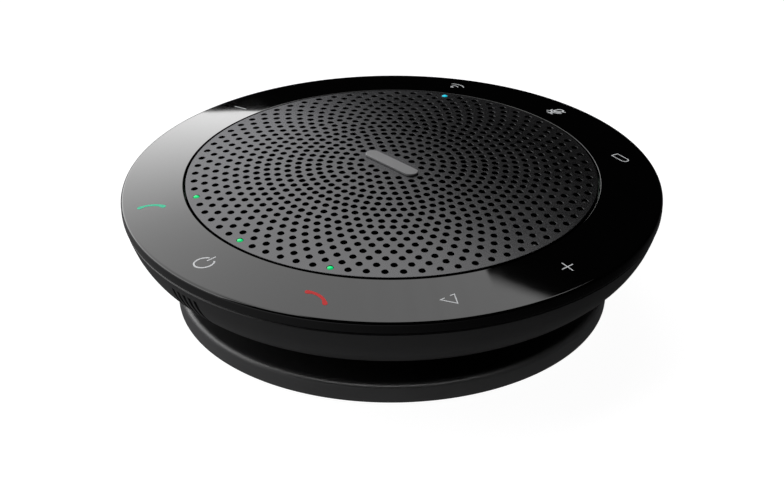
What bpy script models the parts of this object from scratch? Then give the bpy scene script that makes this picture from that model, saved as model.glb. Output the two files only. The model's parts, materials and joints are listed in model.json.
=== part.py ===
"""Round conference speakerphone, built as separate pieces that come apart on a bench.

The origin is the centre of the resting face, +Z is up and -Y points at the power key.
Dimensions are millimetres, turned into metres where each mesh is made.
"""

import math

import bmesh
import bpy
from mathutils import Matrix, Vector

MM = 0.001
GAP = 0.3  # air between two pieces that touch

# Outer form
BODY_R = 60.0  # outer radius of the touch ring
RING_TOP = 29.1  # height of the ring's inner edge
RING_IN_R = 46.2
RING_SLOPE = math.radians(9.25)  # fall of the ring's face, outwards
SEAM_Z = 24.2  # joint between the ring and the lower housing
HOUSING_BOTTOM = 12.1
HOUSING_FLOOR = 13.9
BASE_R = 48.4
BASE_TOP = 6.0
BASE_BOTTOM = 1.0
RIM_BOTTOM = 0.6  # lower edge of the base outside the foot
NECK_R = 38.5

# Grille
DOME_TOP = 32.4
DOME_R = 332.0
GRILLE_R = 45.75
GRILLE_THICK = 1.0
HOLE_R = 1.15
ROW_PITCH = 6.1
LED_R = 43.7
LED_COUNT = 12
ROWS = (6, 12, 18, 24, 30, 36, 36)  # holes a row, from the centre outwards
FIRST_ROW_R = LED_R - ROW_PITCH * (len(ROWS) - 1)
BADGE_SIZE = (15.6, 3.2, 0.5)

# Loudspeaker
FLANGE_R = 29.0
FLANGE_Z = 24.3
COIL_R = 6.7
POLE_R = 6.3

# Plug dock and cord groove on the underside
DOCK_SIZE = (34.0, 12.0, 6.4)
DOCK_Y = 21.0
DOCK_WALL = 1.2
GROOVE_W = 5.2
GROOVE_TOP = 5.4

# Fasteners: distance from the axis and first angle of each set of screws
BASE_SCREWS = (31.0, (20, 160, 200, 340))
HOUSING_SCREWS = (46.5, (45, 135, 225, 315))
DRIVER_SCREWS = (27.0, (45, 135, 225, 315))
BOARD_SCREWS = (34.5, (90, 210, 330))
SHANK_R = 1.0
SHANK_HOLE_R = SHANK_R + GAP

# Facets round a turned piece, by its size
FINE = 60
MEDIUM = 48
COARSE = 32
SMALL = 20

MATERIALS = {
    "gloss_black": ((0.01, 0.01, 0.011), 0.08, 0.0),
    "satin_black": ((0.03, 0.03, 0.032), 0.42, 0.0),
    "matte_black": ((0.02, 0.02, 0.021), 0.6, 0.0),
    "rubber": ((0.015, 0.015, 0.015), 0.85, 0.0),
    "cloth": ((0.008, 0.008, 0.009), 0.95, 0.0),
    "clear": ((0.82, 0.86, 0.88), 0.12, 0.0),
    "badge_grey": ((0.5, 0.51, 0.52), 0.35, 0.0),
    "board_green": ((0.02, 0.16, 0.06), 0.45, 0.0),
    "steel": ((0.6, 0.6, 0.61), 0.3, 1.0),
    "ferrite": ((0.05, 0.05, 0.055), 0.55, 0.0),
    "copper": ((0.72, 0.36, 0.18), 0.35, 1.0),
    "paper": ((0.06, 0.06, 0.065), 0.9, 0.0),
    "cell_silver": ((0.5, 0.52, 0.55), 0.4, 0.6),
    "lead_red": ((0.45, 0.02, 0.02), 0.5, 0.0),
}


# ---------------------------------------------------------------- helpers


def clear_scene():
    for old in list(bpy.data.objects):
        bpy.data.objects.remove(old, do_unlink=True)


def new_collection(name):
    group = bpy.data.collections.new(name)
    bpy.context.scene.collection.children.link(group)
    return group


clear_scene()
PARTS = new_collection("conference_speakerphone")
CUTTERS = new_collection("cutters")


def material(name):
    found = bpy.data.materials.get(name)
    if found:
        return found
    colour, roughness, metallic = MATERIALS[name]
    made = bpy.data.materials.new(name)
    made.use_nodes = True
    shader = made.node_tree.nodes["Principled BSDF"]
    shader.inputs["Base Color"].default_value = (*colour, 1.0)
    shader.inputs["Roughness"].default_value = roughness
    shader.inputs["Metallic"].default_value = metallic
    made.diffuse_color = (*colour, 1.0)
    return made


def add_object(name, mesh, finish=None):
    """A piece when it has a finish, otherwise a hidden cutter."""
    made = bpy.data.objects.new(name, mesh)
    if finish:
        mesh.materials.append(material(finish))
        PARTS.objects.link(made)
    else:
        made.hide_render = True
        made.display_type = "WIRE"
        CUTTERS.objects.link(made)
    return made


def mesh_from(name, build):
    """A mesh filled by build(bm), which works in metres."""
    bm = bmesh.new()
    build(bm)
    mesh = bpy.data.meshes.new(name)
    bm.to_mesh(mesh)
    bm.free()
    return mesh


def turned(name, points, finish, steps=FINE, start=0.0):
    """A solid of revolution. Points are (radius, height), down the outer side.

    The outline closes on itself unless it starts and ends on the axis.
    """
    closed = points[0][0] > 0 or points[-1][0] > 0
    count = len(points)
    verts = [(r * MM, 0, z * MM) for r, z in points]
    edges = [(i, (i + 1) % count) for i in range(count if closed else count - 1)]
    mesh = bpy.data.meshes.new(name)
    mesh.from_pydata(verts, edges, [])
    mesh.transform(Matrix.Rotation(start, 4, "Z"))
    made = add_object(name, mesh, finish)
    screw = made.modifiers.new("turn", "SCREW")
    screw.steps = steps
    screw.render_steps = steps
    screw.use_merge_vertices = True
    screw.merge_threshold = 0.00001
    return made


def box(name, size, centre, finish=None, turn=0.0, bevel=0.0):
    """A block, its sides along the axes before it is turned about Z."""

    def build(bm):
        bmesh.ops.create_cube(bm, size=1.0)
        bmesh.ops.scale(bm, vec=Vector(size) * MM, verts=bm.verts)
        bmesh.ops.translate(bm, vec=Vector(centre) * MM, verts=bm.verts)
        bmesh.ops.rotate(bm, matrix=Matrix.Rotation(turn, 3, "Z"), verts=bm.verts)

    made = add_object(name, mesh_from(name, build), finish)
    if bevel:
        rounding = made.modifiers.new("edges", "BEVEL")
        rounding.width = bevel * MM
        rounding.segments = 1
    return made


def add_cylinder(bm, radius, low, high, at, sides, top_radius=None):
    """An upright cylinder or cone in an open bmesh, between two heights."""
    made = bmesh.ops.create_cone(
        bm,
        cap_ends=True,
        segments=sides,
        radius1=radius * MM,
        radius2=(radius if top_radius is None else top_radius) * MM,
        depth=(high - low) * MM,
    )
    shift = Vector((at[0], at[1], (low + high) / 2)) * MM
    bmesh.ops.translate(bm, vec=shift, verts=made["verts"])
    return made["verts"]


def cylinders(name, radius, low, high, places, finish=None, sides=16):
    """One upright cylinder at each (x, y) place."""

    def build(bm):
        for place in places:
            add_cylinder(bm, radius, low, high, place, sides)

    return add_object(name, mesh_from(name, build), finish)


def boolean(target, tool, operation):
    step = target.modifiers.new(operation.lower(), "BOOLEAN")
    step.operation = operation
    step.solver = "EXACT"
    step.object = tool
    return target


def cut(target, tool):
    return boolean(target, tool, "DIFFERENCE")


def join(target, tool):
    return boolean(target, tool, "UNION")


def polar(radius, degrees):
    angle = math.radians(degrees)
    return radius * math.cos(angle), radius * math.sin(angle)


def places(screws):
    radius, angles = screws
    return [polar(radius, angle) for angle in angles]


def arc(centre, radius, first, last, count):
    """Points on an arc in the (radius, height) plane, angles in degrees."""
    out = []
    for i in range(count + 1):
        x, z = polar(radius, first + (last - first) * i / count)
        out.append((centre[0] + x, centre[1] + z))
    return out


def dome_z(radius, below=0.0):
    """Height of the grille's crown at a radius, or of a skin below it."""
    return DOME_TOP - below - (DOME_R - math.sqrt(DOME_R**2 - radius**2))


def settle():
    """Turn each piece's modifiers into its mesh and shade its round faces smooth."""
    depsgraph = bpy.context.evaluated_depsgraph_get()
    finished = {}
    for piece in PARTS.objects:
        if piece.type == "MESH":
            finished[piece] = bpy.data.meshes.new_from_object(piece.evaluated_get(depsgraph))
    for piece, mesh in finished.items():
        piece.modifiers.clear()
        piece.data = mesh
        mesh.shade_smooth()
        mesh.set_sharp_from_angle(angle=math.radians(32))


# ---------------------------------------------------------------- top


def make_touch_ring():
    """Glossy keypad ring: a sloping face, a short band and a lip inside."""

    def face(radius):
        return RING_TOP - (radius - RING_IN_R) * math.tan(RING_SLOPE)

    edge = arc((BODY_R - 0.7, face(BODY_R - 0.7) - 0.68), 0.7, 78, 0, 2)
    points = [(RING_IN_R + 0.3, face(RING_IN_R + 0.3)), *edge]
    points += [
        (BODY_R - 0.1, SEAM_Z + 0.2),
        (BODY_R - 1.7, SEAM_Z + 0.2),
        (BODY_R - 1.7, 25.5),
        (RING_IN_R + 1.4, 27.4),
        (RING_IN_R + 1.4, 26.2),
        (RING_IN_R, 26.2),
        (RING_IN_R, RING_TOP - 0.3),
    ]
    turned("touch_ring", points, "gloss_black")


def row_holes(row, count):
    """Places of one row's holes; the rows step by half a pitch, away from the LEDs' row."""
    radius = FIRST_ROW_R + row * ROW_PITCH
    pitch = 360.0 / count
    rows_out = len(ROWS) - 1 - row
    shift = 0.0 if rows_out % 2 == 0 else pitch / 2
    return [polar(radius, shift + pitch * i) for i in range(count)]


def make_grille():
    """Perforated dome with a skirt that drops inside the ring."""
    radii = (20.0, 36.0, GRILLE_R - 0.8)
    outer = [(0.0, DOME_TOP)] + [(r, dome_z(r)) for r in radii]
    inner = [(r, dome_z(r, GRILLE_THICK)) for r in (36.0, 20.0)] + [(0.0, DOME_TOP - GRILLE_THICK)]
    skirt = [
        (GRILLE_R, dome_z(GRILLE_R) - 0.4),
        (GRILLE_R, 26.6),
        (GRILLE_R - 1.0, 26.6),
        (GRILLE_R - 1.0, dome_z(GRILLE_R - 1.0, GRILLE_THICK)),
    ]
    grille = turned("grille", outer + skirt + inner, "satin_black", start=math.radians(2.5))

    def holes(bm):
        clear_x = BADGE_SIZE[0] / 2 + 2.2
        clear_y = BADGE_SIZE[1] / 2 + 1.6
        for row, count in enumerate(ROWS):
            for x, y in row_holes(row, count):
                if abs(x) < clear_x and abs(y) < clear_y:
                    continue
                verts = add_cylinder(bm, HOLE_R, 26.0, 34.0, (0, 0), 4)
                turn = Matrix.Rotation(math.atan2(y, x), 3, "Z")
                bmesh.ops.rotate(bm, matrix=turn, verts=verts)
                bmesh.ops.translate(bm, vec=Vector((x, y, 0)) * MM, verts=verts)

    cut(grille, add_object("perforation", mesh_from("perforation", holes)))
    pocket = [size + 2 * GAP for size in BADGE_SIZE[:2]] + [1.0]
    cut(grille, box("badge_pocket", pocket, (0, 0, DOME_TOP + 0.1)))
    width, depth, thick = BADGE_SIZE
    box("badge", BADGE_SIZE, (0, 0, DOME_TOP - 0.1 + thick / 2), "badge_grey", bevel=0.15)


def make_acoustic_cloth():
    """Black cloth dished against the underside of the grille."""
    below = GRILLE_THICK + GAP
    radii = (0.0, 21.0, 41.8)
    top = [(r, dome_z(r, below)) for r in radii]
    bottom = [(r, dome_z(r, below + 0.3)) for r in reversed(radii)]
    turned("acoustic_cloth", top + bottom, "cloth", steps=COARSE)


def make_light_guide():
    """Clear ring under the grille with a pin up through each LED hole."""
    ring = [(LED_R + 0.7, 27.2), (LED_R + 0.7, 26.2), (LED_R - 1.3, 26.2), (LED_R - 1.3, 27.2)]
    guide = turned("light_guide", ring, "clear", steps=COARSE)
    spots = [polar(LED_R, 360 / LED_COUNT * i) for i in range(LED_COUNT)]
    pins = cylinders("light_pins", 0.5, 26.8, dome_z(LED_R) - 0.05, spots, sides=8)
    join(guide, pins)


def make_touch_board():
    """Ring-shaped board with the key pads on top and an LED below each light pin."""
    ring = [(56.5, 25.1), (56.5, 24.3), (42.0, 24.3), (42.0, 25.1)]
    board = turned("touch_board", ring, "board_green", steps=COARSE)

    def leds(bm):
        for i in range(LED_COUNT):
            turn = Matrix.Rotation(2 * math.pi * i / LED_COUNT, 4, "Z")
            size = Matrix.Diagonal((1.6 * MM, 1.8 * MM, 1.1 * MM, 1))
            place = Matrix.Translation(Vector((LED_R - 0.3, 0, 25.35)) * MM)
            bmesh.ops.create_cube(bm, size=1.0, matrix=turn @ place @ size)

    join(board, add_object("leds", mesh_from("leds", leds)))


def make_chassis():
    """Frame that carries the loudspeaker, the touch board and the ring."""
    plate = [
        (58.0, 24.9),
        (58.0, 23.9),
        (56.6, 23.6),
        (56.6, 22.2),
        (24.9, 22.2),
        (24.9, 24.0),
        (57.0, 24.0),
        (57.0, 24.9),
    ]
    chassis = turned("chassis", plate, "matte_black", steps=COARSE)
    join(chassis, cylinders("chassis_posts", 2.6, 14.2, 22.6, places(HOUSING_SCREWS), sides=10))
    join(chassis, cylinders("driver_bosses", 2.4, 19.4, 22.6, places(DRIVER_SCREWS), sides=10))
    cut(chassis, cylinders("post_bores", SHANK_HOLE_R, 13.0, 20.6, places(HOUSING_SCREWS), sides=8))
    cut(chassis, cylinders("boss_bores", SHANK_HOLE_R, 20.2, 25.0, places(DRIVER_SCREWS), sides=8))


# ---------------------------------------------------------------- loudspeaker


def make_driver_frame():
    """Pressed basket: flange, open cone-shaped wall, spider shelf and seat."""
    outline = [
        (FLANGE_R, 25.3),
        (FLANGE_R, FLANGE_Z),
        (21.4, FLANGE_Z),
        (19.0, 18.2),
        (17.8, 16.3),
        (9.0, 16.3),
        (9.0, 17.3),
        (15.0, 17.3),
        (15.0, 18.2),
        (17.6, 18.2),
        (19.8, 24.3),
        (20.4, 25.3),
    ]
    frame = turned("driver_frame", outline, "matte_black", steps=SMALL)
    for number, angle in enumerate((0, 60, 120)):
        slot = box(f"basket_window_{number}", (60, 11, 4.2), (0, 0, 21.2), turn=math.radians(angle))
        cut(frame, slot)
    cut(frame, cylinders("flange_bores", SHANK_HOLE_R, 24.0, 26.0, places(DRIVER_SCREWS), sides=8))


def make_moving_parts():
    """Cone, dust cap and voice coil, which travel together along the axis."""
    turned("cone", [(17.9, 25.3), (17.9, 24.9), (7.4, 20.0), (7.4, 20.5)], "paper", steps=SMALL)
    cap = [(0, 23.6), (4.4, 23.1), (8.2, 21.6), (8.2, 21.25), (7.6, 21.25), (4.2, 22.7), (0, 23.2)]
    turned("dust_cap", cap, "paper", steps=SMALL)
    coil = [
        (COIL_R + 0.4, 20.6),
        (COIL_R + 0.4, 16.8),
        (COIL_R + 0.8, 16.6),
        (COIL_R + 0.8, 13.6),
        (COIL_R + 0.4, 13.2),
        (COIL_R, 13.2),
        (COIL_R, 20.6),
    ]
    turned("voice_coil", coil, "copper", steps=SMALL)


def make_suspension():
    """Half-roll surround at the cone's edge and the corrugated spider on the coil."""
    roll_up = arc((20.3, 25.95), 1.85, 0, 180, 3)
    roll_down = arc((20.3, 25.95), 1.5, 180, 0, 3)
    top = [(24.6, 25.95), (24.6, 25.6), (21.8, 25.6)]
    inner = [(18.8, 25.6), (16.8, 25.6), (16.8, 25.95)]
    outline = [*top, *reversed(roll_down), *inner, *reversed(roll_up)]
    turned("surround", outline, "rubber", steps=SMALL)
    ripple = [(16.6, 18.5), (14.8, 18.5), (12.9, 19.1), (11.0, 18.5), (9.2, 19.1), (7.5, 18.6)]
    upper = [(r, z + 0.35) for r, z in ripple]
    turned("spider", [*upper[:1], *ripple, *reversed(upper[1:])], "cloth", steps=SMALL)


def make_magnet_system():
    turned("top_plate", [(13.6, 16.0), (13.6, 14.4), (8.0, 14.4), (8.0, 16.0)], "steel", steps=SMALL)
    turned("magnet", [(15.0, 14.1), (15.0, 10.9), (9.2, 10.9), (9.2, 14.1)], "ferrite", steps=SMALL)
    yoke = [(0, 16.2), (POLE_R, 16.2), (POLE_R, 10.6), (14.4, 10.6), (14.4, 9.0), (0, 9.0)]
    turned("yoke", yoke, "steel", steps=SMALL)


def make_gasket():
    ring = [(24.9, 27.0), (24.9, 26.25), (22.5, 26.25), (22.5, 27.0)]
    turned("driver_gasket", ring, "rubber", steps=SMALL)


# ---------------------------------------------------------------- electronics


def make_main_board():
    ring = [(42.5, 15.8), (42.5, 14.6), (26.0, 14.6), (26.0, 15.8)]
    board = turned("main_board", ring, "board_green", steps=COARSE)
    cut(board, cylinders("board_bores", SHANK_HOLE_R, 14.0, 16.5, places(BOARD_SCREWS), sides=8))
    box("shield_can", (13, 10, 2.2), (-20, -27.5, 17.2), "steel", bevel=0.3)
    box("radio_module", (11, 9, 1.8), (21, -26.5, 17.0), "steel", bevel=0.2)
    box("lead_header", (8, 4, 3.4), (-22, 27, 17.8), "paper", bevel=0.3)


def make_battery():
    box("battery_cell", (40, 28, 5.2), (0, -12, 5.7), "cell_silver", bevel=1.0)


def make_microphone():
    """Microphone in its rubber boot, behind the slots of the lower housing."""
    boot = box("microphone_boot", (9, 4.4, 5.0), (0, -49.7, 18.2), "rubber", bevel=0.5)

    def bore(radius, near, far):
        def build(bm):
            add_cylinder(bm, radius, near, far, (0, 0), 12)
            bmesh.ops.rotate(bm, matrix=Matrix.Rotation(math.pi / 2, 3, "X"), verts=bm.verts)
            bmesh.ops.translate(bm, vec=Vector((0, 0, 18.2)) * MM, verts=bm.verts)

        return build

    cut(boot, add_object("boot_bore", mesh_from("boot_bore", bore(2.3, 49.4, 54.0))))
    add_object("microphone", mesh_from("microphone", bore(2.0, 49.7, 51.3)), "steel")


def lead(name, points, radius, finish):
    """A short internal lead: a round tube along a few points."""
    curve = bpy.data.curves.new(name, "CURVE")
    curve.dimensions = "3D"
    curve.bevel_depth = radius * MM
    curve.bevel_resolution = 0
    curve.use_fill_caps = True
    spline = curve.splines.new("POLY")
    spline.points.add(len(points) - 1)
    for point, place in zip(spline.points, points):
        point.co = (*(Vector(place) * MM), 1)
    made = bpy.data.objects.new(name, curve)
    curve.materials.append(material(finish))
    PARTS.objects.link(made)


def make_leads():
    route = [(-17, 2.6, 5.8), (-18, 7, 6.4), (-18.6, 12, 9.8), (-18, 15, 15), (-18.8, 17, 17.4)]
    lead("battery_lead", [*route, (-21, 24.6, 17.8)], 0.7, "lead_red")


# ---------------------------------------------------------------- lower casing


def make_lower_housing():
    """Bowl with an open middle, vertical sound slots and screw counterbores."""
    outer = [
        (59.6, SEAM_Z - 0.15),
        (59.1, 22.2),
        (58.0, 19.6),
        (56.3, 17.0),
        (53.6, 14.3),
        (50.0, HOUSING_BOTTOM),
    ]
    inner = [
        (28.0, HOUSING_BOTTOM),
        (28.0, HOUSING_FLOOR),
        (49.4, HOUSING_FLOOR),
        (53.0, 16.2),
        (55.8, 19.6),
        (57.0, 22.2),
        (58.3, 23.4),
        (58.3, SEAM_Z - 0.15),
    ]
    housing = turned("lower_housing", outer + inner, "satin_black", steps=MEDIUM)
    posts = places(BOARD_SCREWS)
    join(housing, cylinders("board_posts", 2.6, 13.0, 14.3, posts, sides=10))
    cut(housing, cylinders("board_post_bores", SHANK_HOLE_R, 12.8, 15.0, posts, sides=8))
    for name, spots in (("base", places(BASE_SCREWS)), ("housing", places(HOUSING_SCREWS))):
        cut(housing, cylinders(f"{name}_bores_up", SHANK_HOLE_R, 11.0, 15.0, spots, sides=8))
    cut(housing, cylinders("head_bores", 2.3, 11.0, 13.1, places(HOUSING_SCREWS), sides=12))
    for number in range(5):
        slot = box(
            f"sound_slot_{number}",
            (0.6, 12.0, 9.5),
            (0, -57.0, 17.4),
            turn=math.radians(1.5 * (number - 2)),
        )
        cut(housing, slot)


def make_cable_spool():
    """Neck that the cord winds round, with bosses for the base's screws."""
    ring = [(NECK_R, 11.8), (NECK_R, BASE_TOP + GAP), (35.5, BASE_TOP + GAP), (35.5, 11.8)]
    spool = turned("cable_spool", ring, "matte_black", steps=MEDIUM)
    spots = places(BASE_SCREWS)
    join(spool, cylinders("spool_bosses", 2.7, 3.1, 11.7, spots, sides=10))
    for number, angle in enumerate(BASE_SCREWS[1]):
        rib = box(
            f"spool_rib_{number}",
            (4.0, 2.4, 4.8),
            (34.5, 0, 9.0),
            turn=math.radians(angle),
        )
        join(spool, rib)
    cut(spool, cylinders("spool_bores", SHANK_HOLE_R, 2.0, 13.0, spots, sides=8))
    cut(spool, gland_solid("gland_hole", 2.4 + GAP, 34.0, 40.0))


def gland_solid(name, radius, near, far, finish=None, sides=12):
    """A radial cylinder where the cord leaves the neck."""

    def build(bm):
        add_cylinder(bm, radius, near, far, (0, 0), sides)
        bmesh.ops.rotate(bm, matrix=Matrix.Rotation(math.pi / 2, 3, "Y"), verts=bm.verts)
        bmesh.ops.rotate(bm, matrix=Matrix.Rotation(math.radians(115), 3, "Z"), verts=bm.verts)
        bmesh.ops.translate(bm, vec=Vector((0, 0, 9.1)) * MM, verts=bm.verts)

    return add_object(name, mesh_from(name, build), finish)


def make_cable_gland():
    gland = gland_solid("cable_gland", 2.4, 34.6, 40.6, "rubber")
    cut(gland, gland_solid("gland_bore", 1.6, 37.0, 42.0, sides=8))


def make_base_plate():
    """Round base: rim, groove for the foot, plug dock and cord groove."""
    outline = [
        (0, 2.8),
        (34.9, 2.8),
        (34.9, BASE_TOP),
        (39.5, BASE_TOP),
        (BASE_R - 1.1, 5.0),
        (BASE_R - 0.2, 4.6),
        (BASE_R, 4.0),
        (BASE_R, RIM_BOTTOM + 0.5),
        (BASE_R - 0.5, RIM_BOTTOM),
        (46.2, RIM_BOTTOM),
        (46.2, 1.9),
        (39.4, 1.9),
        (39.4, BASE_BOTTOM),
        (0, BASE_BOTTOM),
    ]
    base = turned("base_plate", outline, "matte_black", steps=MEDIUM)
    length, width, depth = DOCK_SIZE
    roof = BASE_BOTTOM + depth + DOCK_WALL
    block = (length + 2 * DOCK_WALL, width + 2 * DOCK_WALL, roof - BASE_BOTTOM - 0.2)
    join(base, box("dock_block", block, (0, DOCK_Y, roof - block[2] / 2)))
    spine = (GROOVE_W + 2 * DOCK_WALL, 12.0, BASE_TOP - BASE_BOTTOM - 0.4)
    join(base, box("groove_block", spine, (0, 31.0, BASE_TOP - 0.2 - spine[2] / 2)))
    cut(base, box("dock_recess", (length, width, depth + 1), (0, DOCK_Y, depth / 2 + 0.5)))
    start = DOCK_Y + width / 2 - 1.0
    groove = (GROOVE_W, 42.0 - start, GROOVE_TOP)
    cut(base, box("cord_groove", groove, (0, (42.0 + start) / 2, GROOVE_TOP / 2 - 0.6)))
    cut(base, box("cord_notch", (GROOVE_W, 8.5, 8.0), (0, 45.9, 4.0)))
    spots = places(BASE_SCREWS)
    cut(base, cylinders("base_bores", SHANK_HOLE_R, 0.0, 4.0, spots, sides=8))
    cut(base, cylinders("base_head_bores", 2.3, 0.0, 2.0, spots, sides=12))


def make_foot():
    ring = [(45.9, 1.6), (45.9, 0.0), (39.7, 0.0), (39.7, 1.6)]
    foot = turned("foot_ring", ring, "rubber", steps=MEDIUM)
    cut(foot, box("foot_gap", (GROOVE_W + 0.6, 12.0, 4.0), (0, 43.0, 1.0)))


# ---------------------------------------------------------------- fasteners


def make_screws(name, screws, head_low, head_high, shank_low, shank_high):
    """One object for each screw of a set: a round head and a plain shank."""
    for number, (x, y) in enumerate(places(screws), 1):
        head_r = 1.9
        if head_low > shank_low:
            ends = [(0, head_high), (head_r, head_high), (head_r, head_low)]
            ends += [(SHANK_R, head_low), (SHANK_R, shank_low), (0, shank_low)]
        else:
            ends = [(0, shank_high), (SHANK_R, shank_high), (SHANK_R, head_high)]
            ends += [(head_r, head_high), (head_r, head_low), (0, head_low)]
        screw = turned(f"{name}_{number}", ends, "steel", steps=8)
        screw.location = (x * MM, y * MM, 0)


make_touch_ring()
make_grille()
make_acoustic_cloth()
make_light_guide()
make_touch_board()
make_chassis()
make_driver_frame()
make_gasket()
make_suspension()
make_moving_parts()
make_magnet_system()
make_main_board()
make_battery()
make_microphone()
make_leads()
make_lower_housing()
make_cable_spool()
make_cable_gland()
make_base_plate()
make_foot()
make_screws("driver_screw", DRIVER_SCREWS, 25.6, 26.5, 20.6, 25.6)
make_screws("board_screw", BOARD_SCREWS, 16.1, 16.9, 13.1, 16.1)
make_screws("housing_screw", HOUSING_SCREWS, 12.2, 12.8, 12.2, 20.2)
make_screws("base_screw", BASE_SCREWS, 1.1, 1.8, 1.1, 13.5)
settle()
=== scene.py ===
# Looks of a round conference speakerphone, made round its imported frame.
#
# Everything turns about the Z axis. Dimensions are millimetres, turned into metres where a mesh
# is made. -Y is six o'clock, where the power key is, and +X is three o'clock.

import json
import math

import bmesh
import bpy
from mathutils import Matrix, Vector


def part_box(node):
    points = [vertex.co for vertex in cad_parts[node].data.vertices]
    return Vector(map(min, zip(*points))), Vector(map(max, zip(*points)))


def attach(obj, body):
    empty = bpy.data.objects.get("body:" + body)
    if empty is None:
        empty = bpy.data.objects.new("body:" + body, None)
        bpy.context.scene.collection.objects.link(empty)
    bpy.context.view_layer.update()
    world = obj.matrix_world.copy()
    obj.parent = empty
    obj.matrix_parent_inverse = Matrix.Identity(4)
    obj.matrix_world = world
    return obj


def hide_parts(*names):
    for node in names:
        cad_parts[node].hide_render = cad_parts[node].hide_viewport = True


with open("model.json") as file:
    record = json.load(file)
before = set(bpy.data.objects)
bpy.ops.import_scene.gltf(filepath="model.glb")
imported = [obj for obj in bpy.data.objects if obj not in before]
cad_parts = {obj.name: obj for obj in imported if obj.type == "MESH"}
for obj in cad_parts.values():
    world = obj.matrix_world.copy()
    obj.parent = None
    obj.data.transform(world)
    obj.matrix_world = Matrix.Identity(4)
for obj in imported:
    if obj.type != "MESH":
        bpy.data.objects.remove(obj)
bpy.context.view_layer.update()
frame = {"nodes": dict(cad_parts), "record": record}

MM = 0.001


def extent(node):
    """Outer radius, lowest and highest point of a turned node, in millimetres."""
    low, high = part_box(node)
    return high.x / MM, low.z / MM, high.z / MM


RING_R, RING_LOW, _ = extent("touch_ring")
GRILLE_R, GRILLE_LOW, _ = extent("grille")
BOWL_R, BOWL_LOW, BOWL_TOP = extent("lower_housing")
BASE_R, BASE_LOW, _ = extent("base_plate")
FOOT_R, _, FOOT_TOP = extent("foot_ring")
NECK_R, _, NECK_TOP = extent("cable_spool")

RING_IN_R = 46.2
RING_TOP = 29.1
RING_SLOPE = math.tan(math.radians(9.25))
DOME_R = 332.0
DOME_TOP = 32.4
GRILLE_THICK = 1.0

# Row n of the grille's holes lies n pitches from the middle
ROW_PITCH = 2.3
FIRST_ROW = 2
# Holes in each row, from the first outwards
ROWS = (12, 18, 24, 30, 36, 48, 48, 60, 60, 60, 72, 72, 72, 72, 72, 72, 72, 72)
# Rows whose holes start half a spacing round from three o'clock
SHIFTED_ROWS = (3, 5, 10, 12, 14, 16, 18)
HOLE_R = 0.78
HOLE_SIDES = 12
HOLE_CHAMFER = 0.04
# Half width and half depth of the patch without holes, under the badge
BADGE_CLEAR = (8.5, 3.2)
# Degrees the whole pattern of holes is turned
PATTERN_TURN = 0.3

# Light pins stand in the outermost row, one at each clock position
PIN_R = 0.68
PIN_ROW_R = ROW_PITCH * (FIRST_ROW + len(ROWS) - 1)
GREEN_PINS = (5, 6, 7)
CYAN_PINS = (11,)
# How far the tip of a pin lies under the crown; a lit one stands proud of it
DARK_PIN_SUNK = 0.3
LIT_PIN_SUNK = -0.16

KEY_R = 53.3
PRINT_THICK = 0.03

SLOT_COUNT = 5
SLOT_SIZE = (0.95, 13.0, 10.4)
SLOT_CENTRE = (0, -56.5, 17.0)
# Degrees from one sound slot to the next
SLOT_PITCH = 1.75

# Where the cord leaves the neck: degrees round from three o'clock, and height
GLAND_ANGLE = 115
GLAND_HEIGHT = 9.1

BASE_SCREW_R = 31.0
BASE_SCREW_ANGLES = (20, 160, 200, 340)
HOUSING_SCREW_R = 46.5
HOUSING_SCREW_ANGLES = (45, 135, 225, 315)
SCREW_HEAD_R = 1.9
SCREW_WELL_R = 2.3

# Steps round a turned shape: a large one in sight, one out of sight, and the grille
FINE = 256
MEDIUM = 128
CROWN_STEPS = 240
# Edges that bend more than this many degrees stay sharp
SHARP_ANGLE = 32
# A point of an outline nearer the axis than this lies on it
ON_AXIS = 1e-6

HOUSING = "housing"


# ---------------------------------------------------------------- meshes


def mesh_of(bm, name):
    """The mesh of an open bmesh, which is freed."""
    mesh = bpy.data.meshes.new(name)
    bm.to_mesh(mesh)
    bm.free()
    return mesh


def link(mesh, name):
    made = bpy.data.objects.new(name, mesh)
    bpy.context.scene.collection.objects.link(made)
    return made


def smooth(mesh, sharp=SHARP_ANGLE):
    mesh.shade_smooth()
    mesh.set_sharp_from_angle(angle=math.radians(sharp))


def finish_mesh(bm, name, sharp=SHARP_ANGLE):
    """A mesh object at the origin, its normals out and its round faces smooth."""
    bmesh.ops.recalc_face_normals(bm, faces=bm.faces)
    mesh = mesh_of(bm, name)
    smooth(mesh, sharp)
    return link(mesh, name)


def turn(bm, points, steps, closed):
    """Faces of an outline of (radius, height) points turned about Z."""
    rings = []
    for r, z in points:
        if r < ON_AXIS:
            rings.append([bm.verts.new((0, 0, z * MM))])
            continue
        ring = []
        for i in range(steps):
            angle = 2 * math.pi * i / steps
            spot = (r * math.cos(angle) * MM, r * math.sin(angle) * MM, z * MM)
            ring.append(bm.verts.new(spot))
        rings.append(ring)
    pairs = list(zip(rings, rings[1:]))
    if closed:
        pairs.append((rings[-1], rings[0]))
    for a, b in pairs:
        for i in range(steps):
            j = (i + 1) % steps
            corners = [a[i % len(a)], a[j % len(a)], b[j % len(b)], b[i % len(b)]]
            corners = [v for n, v in enumerate(corners) if v not in corners[:n]]
            if len(corners) > 2:
                bm.faces.new(corners)


def turned(name, points, steps=FINE):
    """A turned piece: its outline is closed unless both its ends lie on the axis."""
    on_axis = points[0][0] < ON_AXIS and points[-1][0] < ON_AXIS
    bm = bmesh.new()
    turn(bm, points, steps, closed=not on_axis)
    return finish_mesh(bm, name)


def polar(radius, degrees):
    angle = math.radians(degrees)
    return radius * math.cos(angle), radius * math.sin(angle)


def clock_angle(clock):
    """Degrees anticlockwise from three o'clock of a position on the clock."""
    return 90 - 30 * clock


def arc(centre, radius, first, last, count):
    """Points of an arc about a centre, from one angle in degrees to another."""
    spots = (polar(radius, first + (last - first) * i / count) for i in range(count + 1))
    return [(centre[0] + x, centre[1] + y) for x, y in spots]


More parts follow.
